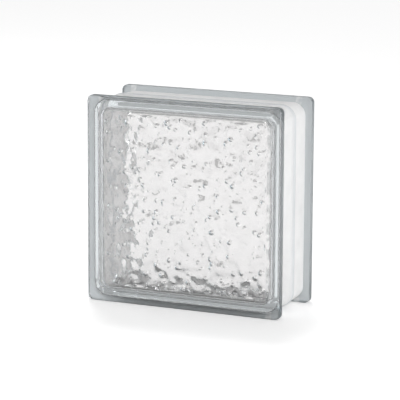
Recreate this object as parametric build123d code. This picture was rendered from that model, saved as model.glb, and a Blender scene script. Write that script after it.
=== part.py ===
from build123d import *
import os

# A hollow glass block for walls: two pressed glass dishes fused mouth to mouth at mid-depth,
# with a white bonding coat in the mortar channel that runs round its four edges.
# The coat covers the channel floor between the two flanks and goes over the weld bead.
# Each half carries its own band of it, and the two bands meet on the seam.
# Frame: X is the width, Y the depth with the front face at -Y, Z is up, and the origin is
# the middle of the footprint that the block stands on.
# An inset is a distance inwards from the block's outline, the same on all four edges.

# Overall size
block_width = 190.0
block_height = 190.0
block_depth = 80.0

# Face plate with its lip
lip_thickness = 8.0
face_corner_radius = 5.0
face_edge_radius = 2.0
lip_back_chamfer = 0.8

# Mortar channel between the two lips
channel_depth = 5.0
channel_corner_radius = 12.0
ledge_width = 1.5
flank_run = 2.5
flank_foot_radius = 2.0
floor_rise = 1.0

# Weld bead where the two halves are fused, on the channel floor and inside the hollow
bead_half_width = 5.0
bead_height = 1.2
inner_bead_half_width = 2.4
inner_bead_height = 0.9

# Glass round the hollow
pane_thickness = 8.0
wall_at_pane = 6.0
wall_at_seam = 5.0
cavity_corner_radius = 9.0
cavity_floor_radius = 4.5

# Bonding coat, which starts a gap away from the point where the floor would meet the flank
coat_thickness = 0.4
coat_flank_gap = 0.4

# Places along the depth of the front half, whose seam is at zero
face_y = -block_depth / 2
lip_middle_y = face_y + lip_thickness / 2
lip_back_y = face_y + lip_thickness
flank_foot_y = lip_back_y + flank_run
pane_inner_y = face_y + pane_thickness
coat_start_y = flank_foot_y + coat_flank_gap

# Insets of the channel floor and its bead
floor_inset_at_seam = channel_depth - floor_rise
floor_inset_at_bead = floor_inset_at_seam + floor_rise * bead_half_width / -flank_foot_y
bead_inset = floor_inset_at_seam - bead_height

# Insets of the hollow, which widens from the pane to the seam, and of the bead inside it
hollow_inset_at_pane = channel_depth + wall_at_pane
hollow_inset_at_seam = floor_inset_at_seam + wall_at_seam
hollow_draft = (hollow_inset_at_pane - hollow_inset_at_seam) / -pane_inner_y
hollow_inset_at_bead = hollow_inset_at_seam + hollow_draft * inner_bead_half_width
inner_bead_inset = hollow_inset_at_seam + inner_bead_height

# Insets of the centres that the corners of the channel and of the hollow turn about
channel_centre_inset = channel_depth + channel_corner_radius
hollow_centre_inset = hollow_inset_at_pane + cavity_corner_radius


def edge_section(centre_inset, start_y, sides, bead, bead_foot):
    """Half of an edge section, from start_y to the seam, out from the centre that its corners turn about.

    The sides are (inset, y) points. The bead is an arc from bead_foot to its crest on the seam.
    """
    points = [(centre_inset - inset, y) for inset, y in [*sides, bead_foot]]
    crest = (centre_inset - bead, 0)
    outline = Polyline(crest, (0, 0), (0, start_y), *points)
    return make_face(outline + TangentArc(crest, points[-1], tangent=(0, -1)))


def rounded_at(face, x, y, radius):
    """The section with the corner nearest to a point rounded."""
    return fillet(face.vertices().sort_by_distance((x, y, 0))[0], radius)


def channel_section():
    """Edge section of the channel: ledge behind the lip, flank, rising floor and half of the bead."""
    sides = [(ledge_width, lip_middle_y), (ledge_width, lip_back_y), (channel_depth, flank_foot_y)]
    bead_foot = (floor_inset_at_bead, -bead_half_width)
    face = edge_section(channel_centre_inset, lip_middle_y, sides, bead_inset, bead_foot)
    return rounded_at(face, channel_corner_radius, flank_foot_y, flank_foot_radius)


def hollow_section():
    """Edge section of the hollow: its floor on the pane, the drafted wall and half of the inner bead."""
    sides = [(hollow_inset_at_pane, pane_inner_y)]
    bead_foot = (hollow_inset_at_bead, -inner_bead_half_width)
    face = edge_section(hollow_centre_inset, pane_inner_y, sides, inner_bead_inset, bead_foot)
    return rounded_at(face, cavity_corner_radius, pane_inner_y, cavity_floor_radius)


def coat_section(channel):
    """Edge section of the coat: a skin of even thickness from the foot of the flank to the seam."""
    skin = offset(channel, coat_thickness) - channel
    reach = channel_centre_inset
    band = Rectangle(reach, -coat_start_y)
    return skin & Pos(reach / 2, coat_start_y / 2) * band


def ring(section, centre_inset):
    """An edge section carried round the block: straight along each side and turned at each corner."""
    straight_x = block_width - 2 * centre_inset
    straight_z = block_height - 2 * centre_inset
    right, left = straight_x / 2, -straight_x / 2
    bottom, top = centre_inset, block_height - centre_inset
    runs = [
        (right, bottom, straight_z),
        (right, top, straight_x),
        (left, top, straight_z),
        (left, bottom, straight_x),
    ]
    corner = revolve(section, Axis.Y, 90)
    body = None
    for turn, (x, z, length) in enumerate(runs):
        piece = corner + extrude(section, amount=length)
        placed = Pos(x, 0, z) * Rot(0, -90 * turn, 0) * piece
        body = placed if body is None else body + placed
    return body


def upright(shape, y, length):
    """A flat shape centred on the block, stood upright at y and extruded towards the back by length."""
    return extrude(Plane.XZ.offset(-y) * Pos(0, block_height / 2) * shape, amount=-length)


def filled(section, centre_inset, start_y):
    """The ring of an edge section with its middle filled, from start_y to the seam."""
    shape = Rectangle(block_width - 2 * centre_inset, block_height - 2 * centre_inset)
    return ring(section, centre_inset) + upright(shape, start_y, -start_y)


def face_plate():
    """The plate of the face out to the edge of the lip, rounded in front and chamfered behind."""
    shape = RectangleRounded(block_width, block_height, face_corner_radius)
    plate = upright(shape, face_y, lip_thickness)
    plate = fillet(plate.faces().sort_by(Axis.Y)[0].edges(), face_edge_radius)
    return chamfer(plate.faces().sort_by(Axis.Y)[-1].edges(), lip_back_chamfer)


def main():
    channel = channel_section()
    outside = face_plate() + filled(channel, channel_centre_inset, lip_middle_y)
    front_half = outside - filled(hollow_section(), hollow_centre_inset, pane_inner_y)
    front_coating = ring(coat_section(channel), channel_centre_inset)
    nodes = {
        "front_half": front_half,
        "back_half": mirror(front_half, about=Plane.XZ),
        "front_coating": front_coating,
        "back_coating": mirror(front_coating, about=Plane.XZ),
    }
    os.makedirs("parts", exist_ok=True)
    for name, shape in nodes.items():
        export_step(shape, f"parts/{name}.step")


main()
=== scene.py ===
import math
import random
import bmesh
import bpy
from mathutils import Matrix, Quaternion, Vector, noise


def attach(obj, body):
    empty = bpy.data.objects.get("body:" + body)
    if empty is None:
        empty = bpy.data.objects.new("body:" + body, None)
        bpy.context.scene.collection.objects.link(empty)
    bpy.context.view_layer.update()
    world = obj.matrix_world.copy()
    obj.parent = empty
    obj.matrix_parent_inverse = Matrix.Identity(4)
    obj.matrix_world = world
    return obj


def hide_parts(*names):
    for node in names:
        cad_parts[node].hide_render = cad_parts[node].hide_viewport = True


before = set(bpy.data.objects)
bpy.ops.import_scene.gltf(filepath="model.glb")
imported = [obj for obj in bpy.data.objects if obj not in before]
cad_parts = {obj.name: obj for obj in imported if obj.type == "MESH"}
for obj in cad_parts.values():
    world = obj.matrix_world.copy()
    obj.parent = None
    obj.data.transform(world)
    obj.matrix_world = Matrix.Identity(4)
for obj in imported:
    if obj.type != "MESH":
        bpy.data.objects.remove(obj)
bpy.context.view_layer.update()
scene = bpy.context.scene
mm = 0.001
print("frame loaded:", ", ".join(sorted(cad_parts)))

# Sizes of the block in metres, and the one thing every piece shares: an inset is a distance
# inwards from the block's square outline, and a depth runs from the seam at zero to the face.
block = {
    "halfSide": 95 * mm,
    "halfDepth": 40 * mm,
    "lipThickness": 8 * mm,
    "lipCorner": 5 * mm,
    "faceEdge": 2 * mm,
    "lipBackEdge": 0.8 * mm,
    "ledge": 1.5 * mm,
    "channelDepth": 5 * mm,
    "channelCorner": 12 * mm,
    "flankRun": 2.5 * mm,
    "flankFoot": 2 * mm,
    "floorRise": 1 * mm,
    "beadHalfWidth": 5 * mm,
    "beadHeight": 1.2 * mm,
    "beadFoot": 0.6 * mm,
    "paneThickness": 8 * mm,
    "wallAtPane": 6 * mm,
    "wallAtSeam": 5 * mm,
    "innerBeadHalfWidth": 2.4 * mm,
    "innerBeadHeight": 0.9 * mm,
    "hollowCorner": 9 * mm,
    "hollowFoot": 4.5 * mm,
}
lipBack = block["halfDepth"] - block["lipThickness"]
flankFoot = lipBack - block["flankRun"]
floorSlope = block["floorRise"] / flankFoot
channelCore = block["channelDepth"] + block["channelCorner"]


def channelFloor(depth):
    return block["channelDepth"] - block["floorRise"] + floorSlope * depth


def roundedPath(points, radii, steps):
    # an (inset, depth) path whose corners are turned into arcs of the given radii
    path = []
    for i, point in enumerate(points):
        here = Vector(point)
        if not radii[i]:
            path.append(here)
            continue
        before = (Vector(points[i - 1]) - here).normalized()
        after = (Vector(points[i + 1]) - here).normalized()
        halfAngle = before.angle(after) / 2
        middle = here + (before + after).normalized() * radii[i] / math.sin(halfAngle)
        reach = radii[i] / math.tan(halfAngle)
        start, end = here + before * reach - middle, here + after * reach - middle
        turn = start.angle_signed(end)
        for k in range(steps + 1):
            path.append(middle + Matrix.Rotation(-turn * k / steps, 2) @ start)
    return path


def beadPath(footInset, rise, halfWidth, steps=6):
    # half of a bead from its foot to its crest on the seam, where it is level; rise may be negative
    radius = (rise * rise + halfWidth * halfWidth) / (2 * abs(rise))
    sweep = math.asin(halfWidth / radius)
    side = math.copysign(1, rise)
    return [(footInset - rise + side * radius * (1 - math.cos(sweep * k / steps)),
             radius * math.sin(sweep * k / steps)) for k in range(steps, -1, -1)]


def channelPath():
    # the channel from the ledge behind the lip down the flank and along the floor to the bead's crest
    bead = beadPath(channelFloor(block["beadHalfWidth"]), block["beadHeight"], block["beadHalfWidth"])
    return roundedPath([(block["ledge"], lipBack), (block["channelDepth"], flankFoot), *bead],
                       [0, block["flankFoot"], block["beadFoot"], *[0] * (len(bead) - 1)], 6)


def addOutline(bm, inset, core, depth, steps):
    # a rounded square whose corners turn about the core inset, stood upright on the front side
    old = set(bm.faces)
    size = block["halfSide"] - inset
    square = bmesh.ops.create_grid(bm, x_segments=1, y_segments=1, size=size)["verts"]
    bmesh.ops.bevel(bm, geom=square, offset=core - inset, segments=steps, profile=0.5,
                    affect="VERTICES", material=-1)
    face = [f for f in bm.faces if f not in old][0]
    bmesh.ops.rotate(bm, verts=face.verts, matrix=Matrix.Rotation(math.pi / 2, 3, "X"))
    bmesh.ops.translate(bm, verts=face.verts, vec=(0, -depth, 0))
    return face


def drawOut(bm, border, core, rows):
    # draws a border out row by row, square along the sides and round the core at the corners
    half = block["halfSide"] - core
    for inset, depth in rows:
        drawn = bmesh.ops.extrude_edge_only(bm, edges=border)["geom"]
        border = [g for g in drawn if isinstance(g, bmesh.types.BMEdge)]
        for v in (g for g in drawn if isinstance(g, bmesh.types.BMVert)):
            held = Vector((max(-half, min(half, v.co.x)), 0, max(-half, min(half, v.co.z))))
            out = (Vector((v.co.x, 0, v.co.z)) - held).normalized()
            v.co = held + out * (core - inset) + Vector((0, -depth, 0))
    return border


def mirrorHalf(bm):
    everything = bm.verts[:] + bm.edges[:] + bm.faces[:]
    bmesh.ops.mirror(bm, geom=everything, axis="Y", merge_dist=1e-6)
    bmesh.ops.remove_doubles(bm, verts=bm.verts[:], dist=1e-6)
    bmesh.ops.recalc_face_normals(bm, faces=bm.faces[:])


def finishPiece(bm, name, material, replaced):
    bmesh.ops.translate(bm, verts=bm.verts[:], vec=(0, 0, block["halfSide"]))
    for f in bm.faces:
        f.smooth = True
    mesh = bpy.data.meshes.new(name)
    bm.to_mesh(mesh)
    bm.free()
    mesh.materials.append(material)
    piece = bpy.data.objects.new(name, mesh)
    scene.collection.objects.link(piece)
    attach(piece, "root")
    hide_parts(*replaced)
    print("made", name, "with", len(mesh.polygons), "faces")
    return piece


def newMaterial(name):
    material = bpy.data.materials.new(name)
    material.use_nodes = True
    nodes = material.node_tree.nodes
    return material, nodes, material.node_tree.links, nodes["Principled BSDF"]


def mathNode(nodes, links, operation, *values):
    # a Math node whose inputs are numbers or other nodes' outputs
    node = nodes.new("ShaderNodeMath")
    node.operation = operation
    for socket, value in zip(node.inputs, values):
        if isinstance(value, (int, float)):
            socket.default_value = value
        else:
            links.new(value, socket)
    return node.outputs[0]


def rangeNode(nodes, links, value, fromMin, fromMax, toMin=0.0, toMax=1.0):
    node = nodes.new("ShaderNodeMapRange")
    node.interpolation_type = "SMOOTHSTEP"
    links.new(value, node.inputs["Value"])
    for name, number in (("From Min", fromMin), ("From Max", fromMax), ("To Min", toMin), ("To Max", toMax)):
        node.inputs[name].default_value = number
    return node.outputs["Result"]


def noiseNode(nodes, links, place, scale, detail=2.0, distortion=0.0):
    node = nodes.new("ShaderNodeTexNoise")
    links.new(place, node.inputs["Vector"])
    node.inputs["Scale"].default_value = scale
    node.inputs["Detail"].default_value = detail
    node.inputs["Distortion"].default_value = distortion
    return node.outputs["Fac"]


def stretchedPlace(nodes, links, place, scale):
    node = nodes.new("ShaderNodeMapping")
    links.new(place, node.inputs["Vector"])
    node.inputs["Scale"].default_value = scale
    return node.outputs["Vector"]


def mixColour(nodes, links, share, first, second):
    node = nodes.new("ShaderNodeMix")
    node.data_type = "RGBA"
    links.new(share, node.inputs["Factor"])
    if isinstance(first, tuple):
        node.inputs["A"].default_value = first
    else:
        links.new(first, node.inputs["A"])
    node.inputs["B"].default_value = second
    return node.outputs["Result"]


glassLook = {
    "clear": (0.905, 0.895, 0.893, 1),
    # painted shade: a dark slate tint for the matt edges of the glass
    "paintedEdgeShade": (0.255, 0.285, 0.3, 1),
    # painted shade: a grey tint, and the scale of its patches, for the hollow's rounded foot
    "footShadeColour": (0.48, 0.49, 0.495, 1),
    "footShadeScale": 110.0,
    "edgeRoughness": 0.5,
    "bendsLight": 1.52,
    "bodyColour": (0.925, 0.941, 0.947, 1),
    "bodyDensity": 45.0,
    "edgeInset": 8.8 * mm,
    "edgeFade": 0.4 * mm,
    "faceFade": 1.5 * mm,
    "footFade": 0.8 * mm,
    "fineRipple": 380.0,
    "fineRippleHeight": 0.15 * mm,
}


def makeGlass():
    material, nodes, links, shader = newMaterial("clearGlass")
    place = nodes.new("ShaderNodeTexCoord").outputs["Object"]
    split = nodes.new("ShaderNodeSeparateXYZ")
    links.new(place, split.inputs[0])
    across = mathNode(nodes, links, "ABSOLUTE", split.outputs["X"])
    height = mathNode(nodes, links, "SUBTRACT", split.outputs["Z"], block["halfSide"])
    fromMiddle = mathNode(nodes, links, "MAXIMUM", across, mathNode(nodes, links, "ABSOLUTE", height))
    depth = mathNode(nodes, links, "ABSOLUTE", split.outputs["Y"])
    # the lip's edge and back, the ledge and the flank are left matt by the mould, and are tinted dark slate as
    # painted shade
    edgeStart = block["halfSide"] - glassLook["edgeInset"]
    outer = rangeNode(nodes, links, fromMiddle, edgeStart - glassLook["edgeFade"], edgeStart)
    faceStart = block["halfDepth"] - 0.1 * mm
    behind = rangeNode(nodes, links, depth, faceStart - glassLook["faceFade"], faceStart, 1.0, 0.0)
    aside = rangeNode(nodes, links, depth, flankFoot - glassLook["footFade"], flankFoot)
    edge = mathNode(nodes, links, "MULTIPLY", mathNode(nodes, links, "MULTIPLY", outer, behind), aside)
    inside = rangeNode(nodes, links, depth, block["halfDepth"] - 4 * mm, block["halfDepth"] - 5 * mm)
    # painted shade: grey patches on the upright sides' rounded foot, where the relief of the panes runs out,
    # stand in for the dark of the thick glass there
    wallStart = block["halfSide"] - block["channelDepth"] - block["wallAtPane"]
    paneEnd = wallStart - block["hollowFoot"]
    footStart = block["halfDepth"] - block["paneThickness"] - block["hollowFoot"]
    rounded = mathNode(nodes, links, "MULTIPLY", rangeNode(nodes, links, across, paneEnd, paneEnd + mm),
                       rangeNode(nodes, links, across, wallStart + 2 * mm, wallStart + mm))
    low = mathNode(nodes, links, "MULTIPLY", inside, rangeNode(nodes, links, depth, footStart - mm, footStart))
    patches = rangeNode(nodes, links, noiseNode(nodes, links, place, glassLook["footShadeScale"], 1.0), 0.38, 0.6)
    foot = mathNode(nodes, links, "MULTIPLY", mathNode(nodes, links, "MULTIPLY", rounded, low), patches)
    # painted shade: the matt edges take the dark slate tint
    tone = mixColour(nodes, links, edge, glassLook["clear"], glassLook["paintedEdgeShade"])
    # painted shade: the foot patches take the grey tint
    links.new(mixColour(nodes, links, foot, tone, glassLook["footShadeColour"]), shader.inputs["Base Color"])
    cloud = noiseNode(nodes, links, place, 90.0)
    matt = mathNode(nodes, links, "MULTIPLY_ADD", cloud, 0.2, glassLook["edgeRoughness"] - 0.1)
    links.new(mathNode(nodes, links, "MULTIPLY", edge, matt), shader.inputs["Roughness"])
    # fine ripple on the inner faces of the panes only; the outer faces are flat and polished
    onPane = rangeNode(nodes, links, fromMiddle, paneEnd + 2 * mm, paneEnd)
    ripple = noiseNode(nodes, links, place, glassLook["fineRipple"], 1.0, 0.4)
    rippled = mathNode(nodes, links, "MULTIPLY", mathNode(nodes, links, "MULTIPLY", inside, onPane), ripple)
    bump = nodes.new("ShaderNodeBump")
    bump.inputs["Distance"].default_value = glassLook["fineRippleHeight"]
    links.new(rippled, bump.inputs["Height"])
    links.new(bump.outputs["Normal"], shader.inputs["Normal"])
    shader.inputs["IOR"].default_value = glassLook["bendsLight"]
    shader.inputs["Transmission Weight"].default_value = 1.0
    absorb = nodes.new("ShaderNodeVolumeAbsorption")
    absorb.inputs["Color"].default_value = glassLook["bodyColour"]
    absorb.inputs["Density"].default_value = glassLook["bodyDensity"]
    links.new(absorb.outputs["Volume"], nodes["Material Output"].inputs["Volume"])
    return material


coatLook = {
    "white": (0.9, 0.9, 0.9, 1),
    # grey of the coat where it is thin in random blotches, and painted shade along the weld bead's crest
    "thinBlotchAndCrestShade": (0.55, 0.575, 0.6, 1),
    "blotches": 0.15,
    # painted shade: the span of depths about the weld bead's crest that is greyed
    "crestShadeSpan": (1 * mm, 7 * mm),
    "roughness": 0.6,
    "seeThrough": 1.0,
    "lightReach": 2 * mm,
}


def makeCoat():
    material, nodes, links, shader = newMaterial("whiteCoat")
    place = nodes.new("ShaderNodeTexCoord").outputs["Object"]
    # the coat is thin in random blotches, where the glass greys it, and along the crest of the weld bead it is
    # greyed as painted shade
    cloud = noiseNode(nodes, links, place, 70.0, 4.0)
    blotch = rangeNode(nodes, links, cloud, 0.35, 0.7, 0.0, coatLook["blotches"])
    split = nodes.new("ShaderNodeSeparateXYZ")
    links.new(place, split.inputs[0])
    depth = mathNode(nodes, links, "ABSOLUTE", split.outputs["Y"])
    # painted shade: a grey band along the weld bead's crest
    crest = rangeNode(nodes, links, depth, *coatLook["crestShadeSpan"], 0.9, 0.0)
    thinBlotchAndCrestShade = mathNode(nodes, links, "MAXIMUM", blotch, crest)
    links.new(mixColour(nodes, links, thinBlotchAndCrestShade, coatLook["white"], coatLook["thinBlotchAndCrestShade"]), shader.inputs["Base Color"])
    spray = noiseNode(nodes, links, place, 1400.0, 2.0)
    rough = mathNode(nodes, links, "MULTIPLY_ADD", spray, 0.2, coatLook["roughness"] - 0.1)
    links.new(rough, shader.inputs["Roughness"])
    bump = nodes.new("ShaderNodeBump")
    bump.inputs["Distance"].default_value = 0.05 * mm
    links.new(spray, bump.inputs["Height"])
    links.new(bump.outputs["Normal"], shader.inputs["Normal"])
    shader.inputs["Subsurface Weight"].default_value = coatLook["seeThrough"]
    shader.inputs["Subsurface Radius"].default_value = (1, 1, 1)
    shader.inputs["Subsurface Scale"].default_value = coatLook["lightReach"]
    return material


glassMesh = {
    "cornerSteps": 12,
    "edgeSteps": 6,
    "paneSteps": 156,
}

# heights and sizes of the pressed relief in millimetres
relief = {
    "swell": 1.9,
    "swellSize": 10.0,
    "ripple": 0.35,
    "rippleSize": 5.0,
    "warp": 4.0,
    "warpSize": 23.0,
    "pitSpacing": 9.0,
    "pitShare": 0.75,
    "pitRadius": (1.8, 3.2),
    "pitStretch": (0.6, 1.0),
    "pitSteepness": 0.55,
    "borderBelt": 16.0,
    "fade": 2.0,
    "frontSeed": 7,
    "backSeed": 23,
}


def scatterPits(flatHalf, seed):
    # one pit at most in each square of a grid, with its own place, size, stretch and turn
    rng = random.Random(seed)
    spacing = relief["pitSpacing"]
    reach = math.ceil(flatHalf / mm / spacing)
    pits = {}
    for i in range(-reach, reach):
        for j in range(-reach, reach):
            x, z = spacing * (i + rng.random()), spacing * (j + rng.random())
            radius = rng.uniform(*relief["pitRadius"])
            stretch = rng.uniform(*relief["pitStretch"])
            turn = rng.uniform(0, math.pi)
            kept = rng.random() < relief["pitShare"]
            # near the pane's border every square of the grid has its pit
            if kept or max(abs(x), abs(z)) > flatHalf / mm - relief["borderBelt"]:
                pits[i, j] = (x, z, radius, stretch, math.cos(turn), math.sin(turn))
    return pits


def pitDepth(x, z, pits):
    depth = 0
    i, j = math.floor(x / relief["pitSpacing"]), math.floor(z / relief["pitSpacing"])
    for near in ((i + a, j + b) for a in (-1, 0, 1) for b in (-1, 0, 1)):
        if near in pits:
            pitX, pitZ, radius, stretch, cosine, sine = pits[near]
            along = ((x - pitX) * cosine + (z - pitZ) * sine) / radius
            aside = ((z - pitZ) * cosine - (x - pitX) * sine) / (radius * stretch)
            away = along * along + aside * aside
            if away < 1:
                depth += relief["pitSteepness"] * radius * (1 - away) ** 2
    return depth


def icyRelief(x, z, seed, pits):
    # height of the relief at a place on the pane: a broad swell, a finer ripple and steep pits
    place = Vector((x, z, seed * 10.5))
    sweep = noise.noise_vector(place / relief["warpSize"]) * relief["warp"]
    sweep.z = 0
    height = relief["swell"] * noise.noise((place + sweep) / relief["swellSize"])
    height += relief["ripple"] * noise.noise((place - sweep) / relief["rippleSize"])
    return height - pitDepth(x, z, pits)


def addShell(bm):
    # outside of the front half: face, lip with its rounded edges, ledge, flank, floor and bead
    lip = roundedPath([(block["faceEdge"] * 1.6, block["halfDepth"]), (0, block["halfDepth"]),
                       (0, lipBack), (block["ledge"], lipBack)],
                      [0, block["faceEdge"], block["lipBackEdge"], 0], glassMesh["edgeSteps"])
    face = addOutline(bm, lip[0][0], block["lipCorner"], lip[0][1], glassMesh["cornerSteps"])
    lipEnd = drawOut(bm, face.edges[:], block["lipCorner"], lip[1:-1])
    start = addOutline(bm, block["ledge"], channelCore, lipBack, glassMesh["cornerSteps"])
    channelStart = start.edges[:]
    bmesh.ops.delete(bm, geom=[start], context="FACES_ONLY")
    drawOut(bm, channelStart, channelCore, channelPath()[1:])
    bmesh.ops.bridge_loops(bm, edges=lipEnd + channelStart)


def addHollow(bm, seed):
    # inside of the front half: the dense pane, its rounded foot, the drafted wall and the inner bead
    paneDepth = block["halfDepth"] - block["paneThickness"]
    wallInset = block["channelDepth"] + block["wallAtPane"]
    mouthInset = channelFloor(0) + block["wallAtSeam"]
    core = wallInset + block["hollowCorner"]
    draft = (wallInset - mouthInset) / paneDepth
    beadFoot = mouthInset + draft * block["innerBeadHalfWidth"]
    beadRise = beadFoot - mouthInset - block["innerBeadHeight"]
    bead = beadPath(beadFoot, beadRise, block["innerBeadHalfWidth"])
    wall = roundedPath([(wallInset + block["hollowFoot"], paneDepth), (wallInset, paneDepth), *bead],
                       [0, block["hollowFoot"], *[0] * len(bead)], glassMesh["edgeSteps"])
    flatHalf = block["halfSide"] - wallInset - block["hollowFoot"]
    coreHalf = block["halfSide"] - core
    steps = glassMesh["paneSteps"]
    pane = bmesh.ops.create_grid(bm, x_segments=steps, y_segments=steps, size=flatHalf)["verts"]
    border = [e for e in bm.edges if e.is_boundary]
    pits = scatterPits(flatHalf, seed)
    for v in pane:
        x, z = v.co.x, v.co.y
        fade = min(1.0, (flatHalf - max(abs(x), abs(z))) / (relief["fade"] * mm))
        height = icyRelief(x / mm, z / mm, seed, pits) * fade * fade * (3 - 2 * fade) * mm
        held = Vector((max(-coreHalf, min(coreHalf, x)), 0, max(-coreHalf, min(coreHalf, z))))
        out = Vector((x, 0, z)) - held
        reach = max(abs(out.x), abs(out.z))
        v.co = held + out.normalized() * reach + Vector((0, height - paneDepth, 0))
    drawOut(bm, border, core, wall[1:])


def makeGlassBody():
    shell = bmesh.new()
    addShell(shell)
    mirrorHalf(shell)
    hollow = bmesh.new()
    for side, seed in ((1, relief["frontSeed"]), (-1, relief["backSeed"])):
        half = bmesh.new()
        addHollow(half, seed)
        bmesh.ops.scale(half, verts=half.verts[:], vec=(side, side, 1))
        part = bpy.data.meshes.new("hollowHalf")
        half.to_mesh(part)
        half.free()
        hollow.from_mesh(part)
        bpy.data.meshes.remove(part)
    bmesh.ops.remove_doubles(hollow, verts=[v for v in hollow.verts if abs(v.co.y) < 1e-6], dist=1e-5)
    bmesh.ops.recalc_face_normals(hollow, faces=hollow.faces[:])
    bmesh.ops.reverse_faces(hollow, faces=hollow.faces[:])
    inside = bpy.data.meshes.new("hollowSkin")
    hollow.to_mesh(inside)
    hollow.free()
    shell.from_mesh(inside)
    bpy.data.meshes.remove(inside)
    return finishPiece(shell, "fusedGlassBody", makeGlass(), ["front_half", "back_half"])


coat = {
    "thickness": 0.4 * mm,
    "airGap": 0.02 * mm,
    "flankGap": 0.4 * mm,
    "rolledEdge": 0.4 * mm,
    "rows": 36,
    "pressedIn": 0.08 * mm,
    "pressedWidth": 15 * mm,
    "pressedFade": 3 * mm,
}


def coatLine(lift):
    # the channel's path from the foot of the flank to the seam, lifted off the glass
    path = [Vector(point) for point in channelPath()]
    start = flankFoot - coat["flankGap"]
    line = []
    for k in range(coat["rows"] + 1):
        # rows lie closer together towards the coat's edge
        depth = start * (1 - (k / coat["rows"]) ** 1.5)
        i = max(j for j in range(len(path) - 1) if path[j].y >= depth)
        share = (path[i].y - depth) / (path[i].y - path[i + 1].y)
        along = (path[i + 1] - path[i]).normalized()
        outwards = Vector((-1, 0)) if k == coat["rows"] else Vector((along.y, -along.x))
        rise = min(1.0, (start - depth) / coat["rolledEdge"]) ** 0.5
        line.append(path[i].lerp(path[i + 1], share) + outwards * (coat["airGap"] + lift * rise))
    return line


def makeCoatRing():
    rows = list(reversed(coatLine(0))) + coatLine(coat["thickness"] - coat["airGap"])[1:]
    bm = bmesh.new()
    face = addOutline(bm, rows[0][0], channelCore, rows[0][1], glassMesh["cornerSteps"])
    border = face.edges[:]
    bmesh.ops.delete(bm, geom=[face], context="FACES_ONLY")
    drawOut(bm, border, channelCore, rows[1:])
    # the coat stands a hair off the glass, and beside the weld on the upright sides it touches it
    for v in (v for v in bm.verts if abs(v.co.x) > abs(v.co.z)):
        share = max(0.0, min(1.0, (coat["pressedWidth"] + v.co.y) / coat["pressedFade"]))
        v.co.x -= math.copysign(coat["pressedIn"] * share, v.co.x)
    mirrorHalf(bm)
    return finishPiece(bm, "edgeCoat", makeCoat(), ["front_coating", "back_coating"])


glassBody = makeGlassBody()
edgeCoat = makeCoatRing()

studio = {
    "floorSize": 40.0,
    "floorColour": (0.9, 0.9, 0.9, 1),
    "floorGlow": 0.3,
    "horizon": 0.58,
    "zenith": 0.43,
    "whiteUpTo": 0.05,
    "greyFrom": 0.6,
}


def makeFloor():
    bm = bmesh.new()
    bmesh.ops.create_grid(bm, x_segments=8, y_segments=8, size=studio["floorSize"] / 2)
    mesh = bpy.data.meshes.new("studioFloor")
    bm.to_mesh(mesh)
    bm.free()
    floor = bpy.data.objects.new("studioFloor", mesh)
    scene.collection.objects.link(floor)
    paper, nodes, links, shader = newMaterial("studioPaper")
    shader.inputs["Base Color"].default_value = studio["floorColour"]
    shader.inputs["Roughness"].default_value = 0.9
    shader.inputs["Specular IOR Level"].default_value = 0.0
    shader.inputs["Emission Color"].default_value = (1, 1, 1, 1)
    rays = nodes.new("ShaderNodeLightPath")
    seen = rays.outputs["Is Camera Ray"]
    for other in ("Is Glossy Ray", "Is Transmission Ray"):
        both = nodes.new("ShaderNodeMath")
        both.operation = "MAXIMUM"
        links.new(seen, both.inputs[0])
        links.new(rays.outputs[other], both.inputs[1])
        seen = both.outputs[0]
    glow = nodes.new("ShaderNodeMath")
    glow.operation = "MULTIPLY"
    glow.inputs[1].default_value = studio["floorGlow"]
    links.new(seen, glow.inputs[0])
    links.new(glow.outputs[0], shader.inputs["Emission Strength"])
    mesh.materials.append(paper)


def makeWorld():
    world = bpy.data.worlds.new("studioDome")
    scene.world = world
    world.use_nodes = True
    nodes, links = world.node_tree.nodes, world.node_tree.links
    direction = nodes.new("ShaderNodeTexCoord")
    split = nodes.new("ShaderNodeSeparateXYZ")
    ramp = nodes.new("ShaderNodeMapRange")
    ramp.interpolation_type = "SMOOTHSTEP"
    ramp.inputs["From Min"].default_value = studio["whiteUpTo"]
    ramp.inputs["From Max"].default_value = studio["greyFrom"]
    ramp.inputs["To Min"].default_value = studio["horizon"]
    ramp.inputs["To Max"].default_value = studio["zenith"]
    links.new(direction.outputs["Generated"], split.inputs[0])
    links.new(split.outputs["Z"], ramp.inputs["Value"])
    links.new(ramp.outputs["Result"], nodes["Background"].inputs["Strength"])
    nodes["Background"].inputs["Color"].default_value = (1, 1, 1, 1)


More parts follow.
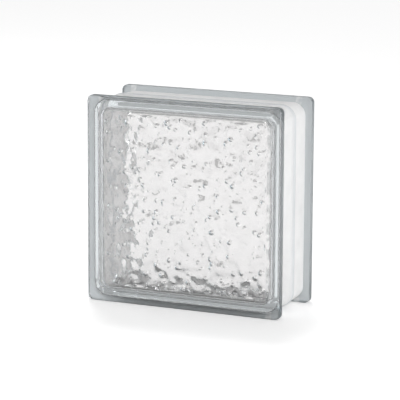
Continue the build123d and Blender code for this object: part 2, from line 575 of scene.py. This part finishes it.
lamps = {
    "topLight": {"kind": "SUN", "place": (-0.5, 0.85, 1.9), "spread": math.radians(14), "power": 0.9},
    "leftSoftbox": {"kind": "AREA", "place": (-1.7, 0.15, 0.3), "spread": 1.1, "power": 19.0},
    "rightSoftbox": {"kind": "AREA", "place": (1.6, -0.8, 0.35), "spread": 1.2, "power": 28.0},
}


def makeLamps():
    for name, lamp in lamps.items():
        data = bpy.data.lights.new(name, lamp["kind"])
        if lamp["kind"] == "SUN":
            data.angle = lamp["spread"]
        else:
            data.size = lamp["spread"]
        data.energy = lamp["power"]
        light = bpy.data.objects.new(name, data)
        light.location = lamp["place"]
        towards = Vector((0, 0, block["halfSide"])) - light.location
        light.rotation_euler = towards.to_track_quat("-Z", "Y").to_euler()
        scene.collection.objects.link(light)


view = {
    "azimuth": 24.3,
    "elevation": 11.2,
    "roll": 0.3,
    "distance": 2.05,
    "imageWidth": 400,
    "pixelsPerMetre": 1099.0,
    "shiftRight": -0.2,
    "shiftDown": 1.05,
}


def makeCamera():
    az, el = math.radians(view["azimuth"]), math.radians(view["elevation"])
    back = Vector((math.sin(az) * math.cos(el), -math.cos(az) * math.cos(el), math.sin(el)))
    turn = back.to_track_quat("Z", "Y") @ Quaternion((0, 0, 1), math.radians(view["roll"]))
    right, up = turn @ Vector((1, 0, 0)), turn @ Vector((0, 1, 0))
    aim = Vector((0, 0, block["halfSide"]))
    aim += (right * view["shiftRight"] - up * view["shiftDown"]) / view["pixelsPerMetre"]
    data = bpy.data.cameras.new("camera")
    data.lens = view["pixelsPerMetre"] * view["distance"] * data.sensor_width / view["imageWidth"]
    camera = bpy.data.objects.new("camera", data)
    camera.location = aim + back * view["distance"]
    camera.rotation_euler = turn.to_euler()
    scene.collection.objects.link(camera)
    scene.camera = camera


makeFloor()
makeWorld()
makeLamps()
makeCamera()
scene.view_settings.view_transform = "Standard"
scene.cycles.max_bounces = 24
scene.cycles.transmission_bounces = 24
scene.cycles.glossy_bounces = 16
print("stage set")
